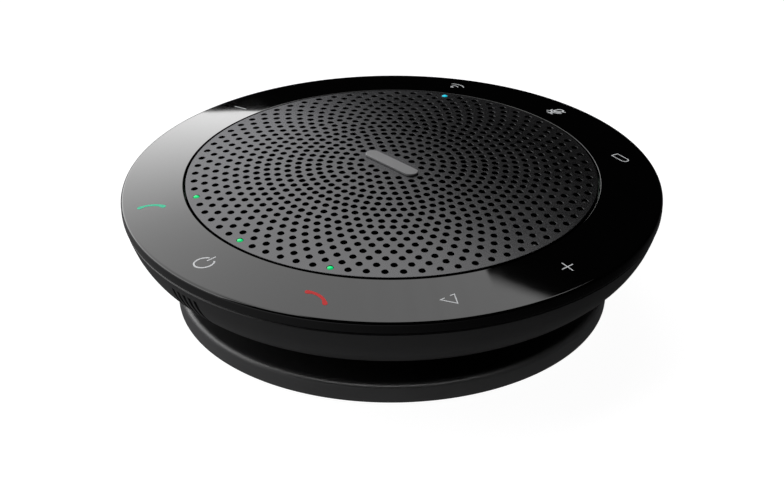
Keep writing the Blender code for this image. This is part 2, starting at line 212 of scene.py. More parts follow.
def smooth_path(points):
    """A Catmull-Rom curve through points, as a list of points."""
    per_span = 6
    ends = [points[0], *points, points[-1]]
    out = []

    def spot(t, a, b, c, d):
        curve = 2 * b + (c - a) * t + (2 * a - 5 * b + 4 * c - d) * t * t
        return 0.5 * (curve + (3 * b - a - 3 * c + d) * t**3)

    for four in zip(ends, ends[1:], ends[2:], ends[3:]):
        for i in range(per_span):
            out.append(tuple(spot(i / per_span, *values) for values in zip(*four)))
    return [*out, points[-1]]


def block(bm, size, centre, turn_z=0.0):
    """A box added to an open bmesh, turned about the Z axis of the object."""
    matrix = (
        Matrix.Rotation(turn_z, 4, "Z")
        @ Matrix.Translation(Vector(centre) * MM)
        @ Matrix.Diagonal((*(Vector(size) * MM), 1))
    )
    bmesh.ops.create_cube(bm, size=1.0, matrix=matrix)


def rod(bm, radius, low, high, at=(0, 0)):
    """An upright cylinder added to an open bmesh."""
    made = bmesh.ops.create_cone(
        bm,
        cap_ends=True,
        segments=32,
        radius1=radius * MM,
        radius2=radius * MM,
        depth=(high - low) * MM,
    )["verts"]
    bmesh.ops.translate(bm, vec=Vector((at[0], at[1], (low + high) / 2)) * MM, verts=made)
    return made


def box_maker(size, centre):
    """Makes one box, for carve."""
    return lambda bm: block(bm, size, centre)


def well_maker(radius, angles, low, high):
    """Makes the wells that a set of screws' heads sit in, for carve."""

    def build(bm):
        for angle in angles:
            rod(bm, SCREW_WELL_R, low, high, polar(radius, angle))

    return build


def shape_from(build):
    """A throwaway object holding what build adds to an open bmesh."""
    bm = bmesh.new()
    build(bm)
    return link(mesh_of(bm, "shape"), "shape")


def bake(piece):
    """Make a piece's modified shape its plain mesh."""
    bpy.context.view_layer.update()
    depsgraph = bpy.context.evaluated_depsgraph_get()
    mesh = bpy.data.meshes.new_from_object(piece.evaluated_get(depsgraph))
    piece.modifiers.clear()
    piece.data = mesh
    smooth(mesh)


def carve(piece, cuts, adds=()):
    """Join the shapes that adds make to a piece, then cut away those that cuts make."""
    steps = [("UNION", build) for build in adds] + [("DIFFERENCE", build) for build in cuts]
    tools = []
    for operation, build in steps:
        tools.append(shape_from(build))
        step = piece.modifiers.new("carve", "BOOLEAN")
        step.operation = operation
        step.solver = "EXACT"
        step.object = tools[-1]
    bake(piece)
    for tool in tools:
        bpy.data.objects.remove(tool)


def wear(piece, material, stands_for=()):
    """Give a finished piece its material, hang it on the housing's body and hide the nodes it
    stands for.
    """
    piece.data.materials.clear()
    piece.data.materials.append(material)
    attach(piece, HOUSING)
    if stands_for:
        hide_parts(*stands_for)


# ---------------------------------------------------------------- shading


class Value:
    """A socket that turns Python's operators into Math nodes."""

    def __init__(self, tree, socket):
        self.tree = tree
        self.socket = socket

    def math(self, operation, *values):
        inputs = dict(enumerate(values))
        return self.tree.add("ShaderNodeMath", {"operation": operation}, inputs)

    def __add__(self, other):
        return self.math("ADD", self, other)

    def __sub__(self, other):
        return self.math("SUBTRACT", self, other)

    def __mul__(self, other):
        return self.math("MULTIPLY", self, other)

    __radd__ = __add__

    def __pow__(self, other):
        return self.math("POWER", self, other)

    def __gt__(self, other):
        return self.math("GREATER_THAN", self, other)

    def sine(self):
        return self.math("SINE", self)

    def absolute(self):
        return self.math("ABSOLUTE", self)

    def root(self):
        return self.math("SQRT", self)

    def clamp(self):
        return self.math("MINIMUM", self.math("MAXIMUM", self, 0.0), 1.0)


class Tree:
    """A node tree being built."""

    def __init__(self, tree):
        self.nodes = tree.nodes
        self.links = tree.links

    def put(self, socket, value):
        """Set an input, or link to it one Value or a list of them."""
        for one in value if isinstance(value, list) else [value]:
            if isinstance(one, Value):
                self.links.new(one.socket, socket)
            else:
                socket.default_value = one

    def add(self, kind, settings=None, inputs=None, output=0):
        """Any node: its settings, then the values or links of its inputs."""
        node = self.nodes.new(kind)
        for key, value in (settings or {}).items():
            setattr(node, key, value)
        for key, value in (inputs or {}).items():
            self.put(node.inputs[key], value)
        return Value(self, node.outputs[output])

    def parts(self, vector):
        """The x, y and z of a vector."""
        split = self.nodes.new("ShaderNodeSeparateXYZ")
        self.put(split.inputs[0], vector)
        return [Value(self, out) for out in split.outputs]


class Shade(Tree):
    """One material's node tree."""

    def __init__(self, name):
        self.material = bpy.data.materials.new(name)
        self.material.use_nodes = True
        super().__init__(self.material.node_tree)
        self.surface = self.nodes["Principled BSDF"]

    def place(self):
        return self.add("ShaderNodeTexCoord", output="Object")

    def noise(self, size_mm, detail, rough=0.5):
        """Noise with features of a given size, between 0 and 1."""
        inputs = {
            "Vector": self.place(),
            "Scale": 1 / (size_mm * MM),
            "Detail": detail,
            "Roughness": rough,
        }
        return self.add("ShaderNodeTexNoise", None, inputs)

    def blend(self, factor, first, second):
        """Colour from first at factor 0 to second at factor 1."""
        node = self.nodes.new("ShaderNodeMix")
        node.data_type = "RGBA"
        self.put(node.inputs["Factor"], factor)
        self.put(node.inputs[6], first if isinstance(first, Value) else (*first, 1))
        self.put(node.inputs[7], second if isinstance(second, Value) else (*second, 1))
        return Value(self, node.outputs[2])

    def bump(self, height, depth_mm, strength):
        inputs = {"Height": height, "Distance": depth_mm * MM, "Strength": strength}
        return self.add("ShaderNodeBump", None, inputs)

    def finish(self, **inputs):
        """Set the shader's inputs; a name's underscores stand for spaces."""
        for key, value in inputs.items():
            if isinstance(value, tuple) and len(value) == 3:
                value = (*value, 1)
            self.put(self.surface.inputs[key.replace("_", " ")], value)
        return self.material


def grey(value):
    """A grey, very slightly cool."""
    return (value, value, value * 1.02)


def scaled(colour, share):
    return tuple(c * share for c in colour)


def ripple(value, spacing_mm):
    """A sine wave along a coordinate, its crests a given distance apart."""
    return (value * (2 * math.pi / (spacing_mm * MM))).sine()


def moulded(name, tone, roughness, grain_mm, depth_mm, specular=0.5):
    """Moulded plastic: spark-eroded grain, uneven sheen and a faint mottle."""
    shade = Shade(name)
    mottle = shade.noise(9.0, 3.0)
    grain = shade.noise(grain_mm, 2.0, 0.6)
    fine = shade.noise(grain_mm * 0.4, 1.0)
    colour = shade.blend(mottle, grey(tone * 0.85), grey(tone * 1.15))
    sheen = roughness - 0.05 + mottle * 0.1 + (fine - 0.5) * 0.08
    return shade.finish(
        Base_Color=colour,
        Roughness=sheen,
        Specular_IOR_Level=specular,
        Normal=shade.bump(grain + fine * 0.5, depth_mm, 0.6),
    )


def painted_metal(name, tone, roughness):
    """Satin black over pressed metal with a fine texture, and painted shade down the punched
    holes: their walls are near black and not metallic.
    """
    shade = Shade(name)
    mottle = shade.noise(9.0, 3.0)
    grain = shade.noise(0.22, 2.0, 0.6)
    _, _, facing_up = shade.parts(shade.add("ShaderNodeNewGeometry", output="True Normal"))
    # Faces that don't look up, the walls of the holes, get near black and no metal: painted
    # shade down the holes.
    coat_not_hole_shade = facing_up > 0.6
    coat = shade.blend(mottle, grey(tone * 0.92), grey(tone * 1.08))
    return shade.finish(
        Base_Color=shade.blend(coat_not_hole_shade, grey(0.0005), coat),
        Metallic=coat_not_hole_shade,
        Roughness=roughness + (mottle - 0.5) * 0.06 + (grain - 0.5) * 0.08,
        Specular_IOR_Level=0.05,
        Specular_Tint=grey(0.55),
        Normal=shade.bump(grain, 0.008, 0.6),
    )


def polished(name, tone, roughness):
    """Piano-black moulding: faint smudges and long ripples in a deep gloss."""
    shade = Shade(name)
    smudge = shade.noise(14.0, 4.0, 0.6)
    streak = shade.noise(2.2, 2.0)
    return shade.finish(
        Base_Color=grey(tone),
        Roughness=roughness + ((smudge - 0.52) * 0.09).clamp() + streak * 0.006,
        Specular_IOR_Level=0.5,
        Normal=shade.bump(shade.noise(7.0, 1.0), 0.004, 0.4),
    )


def printed(name, colour, glow):
    """Screen-printed ink, slightly uneven, with a faint glow: painted light that brightens the
    print.
    """
    shade = Shade(name)
    cover = shade.noise(0.35, 2.0)
    return shade.finish(
        Base_Color=shade.blend(cover, scaled(colour, 0.82), colour),
        Roughness=0.5 + cover * 0.12,
        Specular_IOR_Level=0.15,
        # Emission on the ink is painted light: it brightens the print as light falling on it
        # would.
        Emission_Color=colour,
        Emission_Strength=glow,
        Normal=shade.bump(cover, 0.01, 0.5),
    )


def lit(name, colour):
    """End of a light pin with its LED on: brightest in the middle of the tip."""
    shade = Shade(name)
    outwards, _, _ = shade.parts(shade.add("ShaderNodeUVMap", {"uv_map": "across"}))
    edge = scaled(colour, 0.45)
    return shade.finish(
        Base_Color=edge,
        Roughness=0.35,
        Specular_IOR_Level=0.2,
        Emission_Color=shade.blend((outwards * outwards).clamp(), colour, edge),
        Emission_Strength=1.0,
    )


def clear_plastic(name):
    """Light pin with its LED off: smoky and glossy."""
    shade = Shade(name)
    haze = shade.noise(0.8, 2.0)
    return shade.finish(
        Base_Color=shade.blend(haze, grey(0.01), grey(0.03)),
        Roughness=0.16 + haze * 0.1,
    )


def woven_cloth(name):
    """Black acoustic mesh: a plain weave of fine threads."""
    shade = Shade(name)
    x, y, _ = shade.parts(shade.place())
    weave = ripple(x, 0.28) * ripple(y, 0.28)
    fuzz = shade.noise(0.12, 2.0)
    return shade.finish(
        Base_Color=shade.blend(weave.absolute(), grey(0.002), grey(0.008)),
        Roughness=0.9 + fuzz * 0.1,
        Specular_IOR_Level=0.1,
        Normal=shade.bump(weave + fuzz * 0.3, 0.05, 0.8),
    )


def soft_rubber(name, tone):
    """Rubber: fine grain with a little dust in it."""
    shade = Shade(name)
    grain = shade.noise(0.25, 3.0, 0.6)
    dust = shade.noise(5.0, 4.0, 0.7)
    return shade.finish(
        Base_Color=shade.blend(dust, grey(tone * 0.8), grey(tone * 1.5)),
        Roughness=0.74 + dust * 0.14,
        Specular_IOR_Level=0.35,
        Normal=shade.bump(grain, 0.02, 0.6),
    )


def metal(name, colour, roughness, spun=False):
    """Plated or turned metal; spun metal carries rings about the axis."""
    shade = Shade(name)
    stain = shade.noise(3.0, 3.0)
    if spun:
        x, y, _ = shade.parts(shade.place())
        lines = ripple((x * x + y * y) ** 0.5, 0.2) * 0.5 + 0.5
    else:
        lines = shade.noise(0.15, 2.0)
    return shade.finish(
        Base_Color=shade.blend(stain, scaled(colour, 0.85), colour),
        Metallic=1.0,
        Roughness=roughness + stain * 0.12,
        Normal=shade.bump(lines, 0.004, 0.5),
    )


def fibrous(name, tone):
    """Pressed paper pulp."""
    shade = Shade(name)
    fibre = shade.noise(0.5, 5.0, 0.7)
    return shade.finish(
        Base_Color=shade.blend(fibre, grey(tone * 0.6), grey(tone * 1.3)),
        Roughness=0.85 + fibre * 0.1,
        Normal=shade.bump(fibre, 0.06, 0.7),
    )


def solder_mask(name):
    """Green board: tracks show through the mask as faint raised lines."""
    shade = Shade(name)
    x, y, _ = shade.parts(shade.place())
    pitch = 2 * math.pi / (1.6 * MM)
    route = shade.noise(6.0, 1.0)
    track = ((x * pitch + route * 9.0).sine() * (y * pitch).sine()).absolute() > 0.55
    return shade.finish(
        Base_Color=shade.blend(track, (0.01, 0.1, 0.035), (0.02, 0.19, 0.07)),
        Roughness=0.38 + route * 0.1,
        Normal=shade.bump(track, 0.03, 0.4),
    )


def wound_copper(name):
    """Voice coil: turns of enamelled wire stacked up the former."""
    shade = Shade(name)
    _, _, z = shade.parts(shade.place())
    turns = ripple(z, 0.16) * 0.5 + 0.5
    return shade.finish(
        Base_Color=shade.blend(turns, (0.32, 0.13, 0.05), (0.75, 0.36, 0.17)),
        Metallic=1.0,
        Roughness=0.3 + turns * 0.1,
        Normal=shade.bump(turns, 0.04, 0.8),
    )


def foil(name):
    """Creased foil round the battery cell."""
    shade = Shade(name)
    crease = shade.noise(3.0, 4.0, 0.6)
    return shade.finish(
        Base_Color=shade.blend(crease, (0.42, 0.43, 0.45), (0.6, 0.61, 0.63)),
        Metallic=0.7,
        Roughness=0.3 + crease * 0.2,
        Normal=shade.bump(crease, 0.1, 0.6),
    )


def sleeve(name, colour):
    """Plastic sleeve of a lead."""
    shade = Shade(name)
    sheen = shade.noise(1.0, 2.0)
    return shade.finish(
        Base_Color=shade.blend(sheen, scaled(colour, 0.8), colour),
        Roughness=0.4 + sheen * 0.15,
        Normal=shade.bump(sheen, 0.01, 0.4),
    )


RING_BLACK = polished("ring_piano_black", 0.0012, 0.028)
GRILLE_BLACK = painted_metal("grille_satin_black", 0.092, 0.27)
BOWL_BLACK = moulded("bowl_matte_black", 0.008, 0.42, 0.3, 0.010)
BASE_BLACK = moulded("base_matte_black", 0.019, 0.36, 0.3, 0.010)
# The neck gets a darker, duller copy of the matte black than the bowl and base: painted shade in
# the channel under the bowl.
NECK_SHADE_BLACK = moulded("neck_black_painted_shade", 0.003, 0.6, 0.3, 0.010, specular=0.12)
FOOT_RUBBER = soft_rubber("foot_rubber", 0.014)
WHITE_INK = printed("white_ink", (0.48, 0.49, 0.5), 0.5)
RED_INK = printed("red_ink", (0.42, 0.02, 0.02), 0.5)
GREEN_INK = printed("green_ink", (0.03, 0.36, 0.21), 0.75)
BADGE_GREY = moulded("badge_grey", 0.17, 0.33, 0.2, 0.006)
CLOTH_BLACK = woven_cloth("acoustic_mesh")
PIN_CLEAR = clear_plastic("pin_smoke")
PIN_GREEN = lit("pin_green", (0.0, 0.78, 0.21))
PIN_CYAN = lit("pin_cyan", (0.0, 0.55, 0.72))
ZINC = metal("zinc_plate", (0.55, 0.56, 0.58), 0.3)

SLOT_FINISH = {
    "matte_black": moulded("inner_black", 0.02, 0.55, 0.3, 0.012),
    "rubber": FOOT_RUBBER,
    "cloth": CLOTH_BLACK,
    "board_green": solder_mask("solder_mask"),
    "steel": ZINC,
    "ferrite": metal("ground_ferrite", (0.06, 0.06, 0.065), 0.45, spun=True),
    "copper": wound_copper("copper_turns"),
    "paper": fibrous("pulp_black", 0.05),
    "cell_silver": foil("cell_foil"),
    "lead_red": sleeve("lead_sleeve", (0.5, 0.03, 0.03)),
    "gloss_black": RING_BLACK,
    "satin_black": BOWL_BLACK,
    "clear": PIN_CLEAR,
    "badge_grey": BADGE_GREY,
}


# ---------------------------------------------------------------- grille


def dome_fall(radius):
    """How far the crown has fallen at a radius."""
    return DOME_R - math.sqrt(DOME_R**2 - radius**2)


def dome_z(radius, below=0.0):
    """Height of the crown, or of what lies a little below it."""
    return DOME_TOP - below - dome_fall(radius)


class Builder(Tree):
    """A geometry node tree with a modifier's named inputs."""

    def __init__(self, name):
        self.group = bpy.data.node_groups.new(name, "GeometryNodeTree")
        super().__init__(self.group)
        for way in ("INPUT", "OUTPUT"):
            self.group.interface.new_socket(
                "Geometry", in_out=way, socket_type="NodeSocketGeometry"
            )
        self.entry = self.nodes.new("NodeGroupInput")
        self.exit = self.nodes.new("NodeGroupOutput")
        self.sockets = {}

    def given(self, name="Geometry"):
        return Value(self, self.entry.outputs[name])

    def size(self, name):
        """A named number that goes into the tree."""
        made = self.group.interface.new_socket(
            name, in_out="INPUT", socket_type="NodeSocketFloat"
        )
        self.sockets[name] = made.identifier
        return self.given(name)

    def upright(self, length):
        """A vector along Z."""
        return self.add("ShaderNodeCombineXYZ", None, {"Z": length})

    def lower(self, geometry, drop):
        inputs = {"Geometry": geometry, "Translation": self.upright(drop * -1.0)}
        return self.add("GeometryNodeTransform", None, inputs)

    def join(self, *parts):
        return self.add("GeometryNodeJoinGeometry", None, {"Geometry": list(parts)})

    def realize(self, geometry):
        return self.add("GeometryNodeRealizeInstances", None, {"Geometry": geometry})

    def end(self, geometry, material):
        """Realize Instances and Set Material, then the output."""
        inputs = {"Geometry": self.realize(geometry), "Material": material}
        self.put(self.exit.inputs[0], self.add("GeometryNodeSetMaterial", None, inputs))


def grow(piece, builder, values):
    """Run a tree on a piece and make the result its plain mesh."""
    modifier = piece.modifiers.new("grow", "NODES")
    modifier.node_group = builder.group
    for name, value in values.items():
        modifier[builder.sockets[name]] = value
    bake(piece)


def perforation():
    """Sheet of holes over the crown.

    Rows of circles are cut from a disc, top and bottom, with a chamfered wall down each hole.
    """
    tree = Builder("perforation")
    hole = tree.size("Hole radius")
    chamfer = tree.size("Chamfer")
    thick = tree.size("Thickness")
    pitch = tree.size("Row pitch")
    top_r = tree.size("Top radius")
    bottom_r = tree.size("Bottom radius")
    crown = tree.size("Crown radius")
    height = tree.size("Crown height")
    clear_x = tree.size("Clear half width")
    clear_y = tree.size("Clear half depth")

    rows = []
    for number, count in enumerate(ROWS, FIRST_ROW):
        inputs = {"Vertices": count, "Radius": pitch * float(number)}
        ring = tree.add("GeometryNodeMeshCircle", None, inputs)
        shift = math.radians(PATTERN_TURN)
        if number in SHIFTED_ROWS:
            shift += math.pi / count
        inputs = {"Geometry": ring, "Rotation": (0.0, 0.0, shift)}
        rows.append(tree.add("GeometryNodeTransform", None, inputs))
    spots = tree.add("GeometryNodeMeshToPoints", None, {"Mesh": tree.join(*rows)})

    x, y, _ = tree.parts(tree.add("GeometryNodeInputPosition"))
    under_badge = (clear_x > x.absolute()) * (clear_y > y.absolute())
    inputs = {"Geometry": spots, "Selection": under_badge}
    spots = tree.add("GeometryNodeDeleteGeometry", {"domain": "POINT"}, inputs)

    def repeat(shape):
        inputs = {"Points": spots, "Instance": shape}
        return tree.realize(tree.add("GeometryNodeInstanceOnPoints", None, inputs))

    def circle(radius, sides):
        inputs = {"Resolution": sides, "Radius": radius}
        return tree.add("GeometryNodeCurvePrimitiveCircle", None, inputs)

    def sheet(outer, radius, drop):
        edges = tree.join(circle(outer, CROWN_STEPS), repeat(circle(radius, HOLE_SIDES)))
        flat = tree.add("GeometryNodeFillCurve", None, {"Curve": edges})
        return tree.lower(flat, drop)

    def wall(kind, drop, **inputs):
        inputs = {key.replace("_", " "): value for key, value in inputs.items()}
        inputs["Vertices"] = HOLE_SIDES
        return repeat(tree.lower(tree.add(kind, {"fill_type": "NONE"}, inputs), drop))

    rim = hole + chamfer
    cone = wall(
        "GeometryNodeMeshCone", chamfer, Radius_Top=rim, Radius_Bottom=hole, Depth=chamfer
    )
    middle = (thick + chamfer) * 0.5
    bore = wall("GeometryNodeMeshCylinder", middle, Radius=hole, Depth=thick - chamfer)
    top = sheet(top_r, rim, 0.0)
    bottom = sheet(bottom_r, hole, thick)
    flat = tree.join(top, bottom, cone, bore)

    rise = (crown**2.0 - (x.absolute() ** 2.0 + y.absolute() ** 2.0)).root()
    inputs = {"Geometry": flat, "Offset": tree.upright(rise - crown + height)}
    domed = tree.add("GeometryNodeSetPosition", None, inputs)
    whole = tree.join(tree.given(), domed)
    inputs = {"Geometry": whole, "Distance": 0.002 * MM}
    merged = tree.add("GeometryNodeMergeByDistance", None, inputs)
    tree.end(merged, GRILLE_BLACK)
    return tree


def make_grille():
    """The perforated crown, grown on a skirt that drops into the ring."""
    edge_r = 0.22
    top_r = GRILLE_R - edge_r
    bottom_r = GRILLE_R - 1.0
    edge = arc((top_r, dome_z(top_r) - edge_r), edge_r, 84, 0, 4)
    outline = [
        (top_r, dome_z(top_r)),
        *edge[1:],
        (GRILLE_R, GRILLE_LOW + 0.15),
        (GRILLE_R - 0.15, GRILLE_LOW),
        (bottom_r, GRILLE_LOW),
        (bottom_r, dome_z(bottom_r, GRILLE_THICK)),
    ]
    bm = bmesh.new()
    turn(bm, outline, CROWN_STEPS, closed=False)
    grille = link(mesh_of(bm, "grille_crown"), "grille_crown")
    values = {
        "Hole radius": HOLE_R * MM,
        "Chamfer": HOLE_CHAMFER * MM,
        "Thickness": GRILLE_THICK * MM,
        "Row pitch": ROW_PITCH * MM,
        "Top radius": top_r * MM,
        "Bottom radius": bottom_r * MM,
        "Crown radius": DOME_R * MM,
        "Crown height": DOME_TOP * MM,
        "Clear half width": BADGE_CLEAR[0] * MM,
        "Clear half depth": BADGE_CLEAR[1] * MM,
    }
    grow(grille, perforation(), values)
    bm = bmesh.new()
    bm.from_mesh(grille.data)
    bmesh.ops.recalc_face_normals(bm, faces=bm.faces)
    bm.to_mesh(grille.data)
    bm.free()
    wear(grille, GRILLE_BLACK, stands_for=["grille"])


def make_badge():
    """Plain raised bar with round ends, where the grille has no holes."""
    low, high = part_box("badge")
    half, radius = high.x / MM, high.y / MM
    outline = arc((half - radius, 0), radius, -90, 90, 16)
    outline += arc((radius - half, 0), radius, 90, 270, 16)
    bevel = 0.12
    bm = bmesh.new()
    layers = ((0.0, low.z / MM), (0.0, high.z / MM - bevel), (bevel, high.z / MM))
    rings = []
    for inset, z in layers:
        scale = 1 - inset / radius
        ring = []
        for x, y in outline:
            middle = math.copysign(half - radius, x)
            ring.append(bm.verts.new(Vector((middle + (x - middle) * scale, y * scale, z)) * MM))
        rings.append(ring)
    for a, b in zip(rings, rings[1:]):
        for i in range(len(a)):
            j = (i + 1) % len(a)
            bm.faces.new((a[i], a[j], b[j], b[i]))
    bm.faces.new(rings[-1])
    bm.faces.new(list(reversed(rings[0])))
    wear(finish_mesh(bm, "badge_bar"), BADGE_GREY, stands_for=["badge"])


def make_cloth():
    """Black acoustic cloth stretched just under the grille."""
    radius, _, _ = extent("acoustic_cloth")
    gap, thick = 0.3, 0.3
    below = GRILLE_THICK + gap
    radii = [radius * i / 12 for i in range(13)]
    top = [(r, dome_z(r, below)) for r in radii]
    bottom = [(r, dome_z(r, below + thick)) for r in reversed(radii)]
    cloth = turned("acoustic_mesh_disc", top + bottom, steps=96)
    wear(cloth, CLOTH_BLACK, stands_for=["acoustic_cloth"])


def make_lights():
    """Clear ring under the grille and its twelve pins, three lit green and one cyan."""
    dark_pins = [clock for clock in range(1, 13) if clock not in GREEN_PINS + CYAN_PINS]
    for name, clocks, finish, sunk in (
        ("pins_off", dark_pins, PIN_CLEAR, DARK_PIN_SUNK),
        ("pins_green", GREEN_PINS, PIN_GREEN, LIT_PIN_SUNK),
        ("pins_cyan", CYAN_PINS, PIN_CYAN, LIT_PIN_SUNK),
    ):
        tip_z = dome_z(PIN_ROW_R) - sunk
        profile = [(0, tip_z), (0.25, tip_z - 0.02), (0.48, tip_z - 0.08), (0.66, tip_z - 0.2)]
        profile += [(PIN_R, 27.6), (0.5, 27.4), (0.5, 26.9), (0, 26.9)]
        bm = bmesh.new()
        across = bm.loops.layers.uv.new("across")
        for clock in clocks:
            before = set(bm.verts)
            turn(bm, profile, steps=20, closed=False)
            new = [v for v in bm.verts if v not in before]
            for vert in new:
                share = math.hypot(vert.co.x, vert.co.y) / (PIN_R * MM)
                for loop in vert.link_loops:
                    loop[across].uv = (share, vert.co.z)
            x, y = polar(PIN_ROW_R, clock_angle(clock) + PATTERN_TURN)
            bmesh.ops.translate(bm, vec=Vector((x, y, 0)) * MM, verts=new)
        wear(finish_mesh(bm, name, sharp=50), finish)
    outer_r, low, _ = extent("light_guide")
    inner_r, high = outer_r - 2, 26.8
    outline = [(outer_r, high), (outer_r, low), (inner_r, low), (inner_r, high)]
    ring = turned("light_guide_ring", outline, steps=MEDIUM)
    wear(ring, PIN_CLEAR, stands_for=["light_guide"])


# ---------------------------------------------------------------- ring and its keys


def face_z(radius):
    """Height of the ring's sloping face."""
    return RING_TOP - (radius - RING_IN_R) * RING_SLOPE


def make_ring():
    """Glossy ring: arcs at its two edges run tangent into the sloping face."""
    edge_r = 0.72
    inner_r = 0.12
    middle = RING_R - edge_r
    inner = RING_IN_R + inner_r
    fall = math.atan(RING_SLOPE)
    top = 90 - math.degrees(fall)
    inner_edge = arc((inner, face_z(inner) - inner_r / math.cos(fall)), inner_r, 180, top, 6)
    outer_edge = arc((middle, face_z(middle) - edge_r / math.cos(fall)), edge_r, top, 0, 10)
    face_in, face_out = inner_edge[-1][0], outer_edge[0][0]
    outline = [
        *inner_edge,
        *[(r, face_z(r)) for r in (face_in + 0.1, 49.5, 53.0, 56.5, face_out - 0.1)],
        *outer_edge,
        (RING_R - 0.03, 25.2),
        (RING_R - 0.1, RING_LOW + 0.2),
        *arc((RING_R - 0.3, RING_LOW + 0.2), 0.2, 0, -90, 3),
        (RING_R - 1.7, RING_LOW),
        (RING_R - 1.7, 25.5),
        (RING_IN_R + 1.4, 27.4),
        (RING_IN_R + 1.4, 26.2),
        (RING_IN_R, 26.2),
    ]
    wear(turned("ring_moulding", outline), RING_BLACK, stands_for=["touch_ring"])


def ribbon(bm, points, widths, clock, closed=False):
    """A flat stroke of ink on the ring's face at a clock position.

    Points are millimetres right and up of the key's middle; widths is one number or one a point.
    """
    centre = Vector(polar(KEY_R, clock_angle(clock)))
    count = len(points)
    if not isinstance(widths, (list, tuple)):
        widths = [widths] * count
    layers = []
    for lift in (PRINT_THICK, -0.02):
        sides = []
        for side in (1, -1):
            line = []
            for i in range(count):
                before = Vector(points[i - 1] if closed or i else points[i])
                after = Vector(points[(i + 1) % count] if closed or i < count - 1 else points[i])
                here = Vector(points[i])
                a = (here - before).normalized() if (here - before).length else None
                b = (after - here).normalized() if (after - here).length else None
                a, b = a or b, b or a
                normal = Vector((-(a.y + b.y), a.x + b.x)).normalized()
                spread = max(0.35, normal.dot(Vector((-a.y, a.x))))
                spot = centre + here + normal * (side * widths[i] / 2 / spread)
                z = face_z(spot.length) + lift
                line.append(bm.verts.new(Vector((spot.x, spot.y, z)) * MM))
            sides.append(line)
        layers.append(sides)
    (top_l, top_r), (low_l, low_r) = layers
    spans = count if closed else count - 1
    for i in range(spans):
        j = (i + 1) % count
        for a, b in ((top_l, top_r), (low_r, low_l), (top_r, low_r), (low_l, top_l)):
            bm.faces.new((a[i], a[j], b[j], b[i]))
    if not closed:
        bm.faces.new((top_l[0], top_r[0], low_r[0], low_l[0]))
        bm.faces.new((top_r[-1], top_l[-1], low_l[-1], low_r[-1]))


def flattened(points, degrees, share):
    """Points squeezed along one direction."""
    along = Vector(polar(1, degrees))
    moved = [Vector(p) - along * (along.dot(Vector(p)) * (1 - share)) for p in points]
    return [tuple(p) for p in moved]


def make_white_prints():
    """Keys printed in white: mute, battery, louder, next, power, quieter and wireless."""
    line = 0.22
    bm = bmesh.new()

    # Twelve: a microphone on its stand, struck through
    capsule = arc((0, 1.2), 0.75, 0, 180, 10) + arc((0, 0.1), 0.75, 180, 360, 10)
    ribbon(bm, capsule, 0.34, 12, closed=True)
    ribbon(bm, arc((0, 0.1), 1.45, 180, 360, 16), 0.3, 12)
    ribbon(bm, [(0, -1.35), (0, -2.3)], 0.34, 12)
    ribbon(bm, [(-0.9, -2.4), (0.9, -2.4)], 0.34, 12)
    ribbon(bm, [(-1.7, -1.7), (1.5, 1.5)], 0.3, 12)

    # One: a battery, its one end drawn in
    cell = [(-1.5, -1.4), (1.7, -1.4), (2.25, -0.9), (2.25, 0.1), (1.7, 0.6), (-1.5, 0.6)]
    ribbon(bm, cell, 0.2, 1, closed=True)

    # Three and nine: plus and minus
    ribbon(bm, [(-1.6, 0), (1.6, 0)], line, 3)
    ribbon(bm, [(0, -1.6), (0, 1.6)], line, 3)
    ribbon(bm, [(-1.7, 0.1), (2.5, 0.1)], 0.18, 9)

    # Four: an arrowhead, open at the back
    ribbon(bm, [(-0.75, 0.5), (-0.55, 1.5), (2.0, 0), (-1.05, -1.9), (-0.92, -0.9)], line, 4)

    # Six: power, its ring drawn slightly oval
    ribbon(bm, flattened(arc((0.5, -0.35), 2.15, 108, 415, 40), 137, 0.8), 0.38, 6)
    ribbon(bm, [(0.4, 0.55), (0.8, 2.6)], 0.3, 6)

    # Eleven: a dot and two arcs, for the wireless link
    for radius in (1.5, 2.9):
        ribbon(bm, arc((0, -1.6), radius, 45, 135, 16), line, 11)
    ribbon(bm, arc((0, -1.5), 0.25, 0, 330, 11), 0.3, 11, closed=True)
    wear(finish_mesh(bm, "white_prints"), WHITE_INK)


def handset(bm, clock, tilt, shift, length, bow):
    """A telephone handset: a bowed bar, a little thicker at its two ends."""
    radius = length / 2 / math.sin(math.radians(bow))
    count = 32
    points = []
    widths = []
    for i in range(count + 1):
        share = 2 * i / count - 1
        x, y = polar(radius, 90 - bow * share)
        y -= radius * math.cos(math.radians(bow / 2))
        swell = min(1.0, max(0.0, abs(share) - 0.5) / 0.25)
        taper = math.sqrt(max(0.05, 1 - max(0.0, (abs(share) - 0.88) / 0.12) ** 2))
        spot = Matrix.Rotation(math.radians(tilt), 2) @ Vector((x, y - 0.12 * swell))
        points.append(tuple(spot + Vector(shift)))
        widths.append((0.72 + 0.34 * swell) * taper)
    ribbon(bm, points, widths, clock)


def make_call_prints():
    """Handsets printed at five and seven: end a call in red, start one in green."""
    for name, clock, tilt, shift, ink in (
        ("call_end_print", 5, 0, (0.6, 0.6), RED_INK),
        ("call_start_print", 7, 38, (-0.6, 0.3), GREEN_INK),
    ):
        bm = bmesh.new()
        handset(bm, clock, tilt, shift, length=6.3, bow=36)
        wear(finish_mesh(bm, name), ink)


# ---------------------------------------------------------------- lower casing


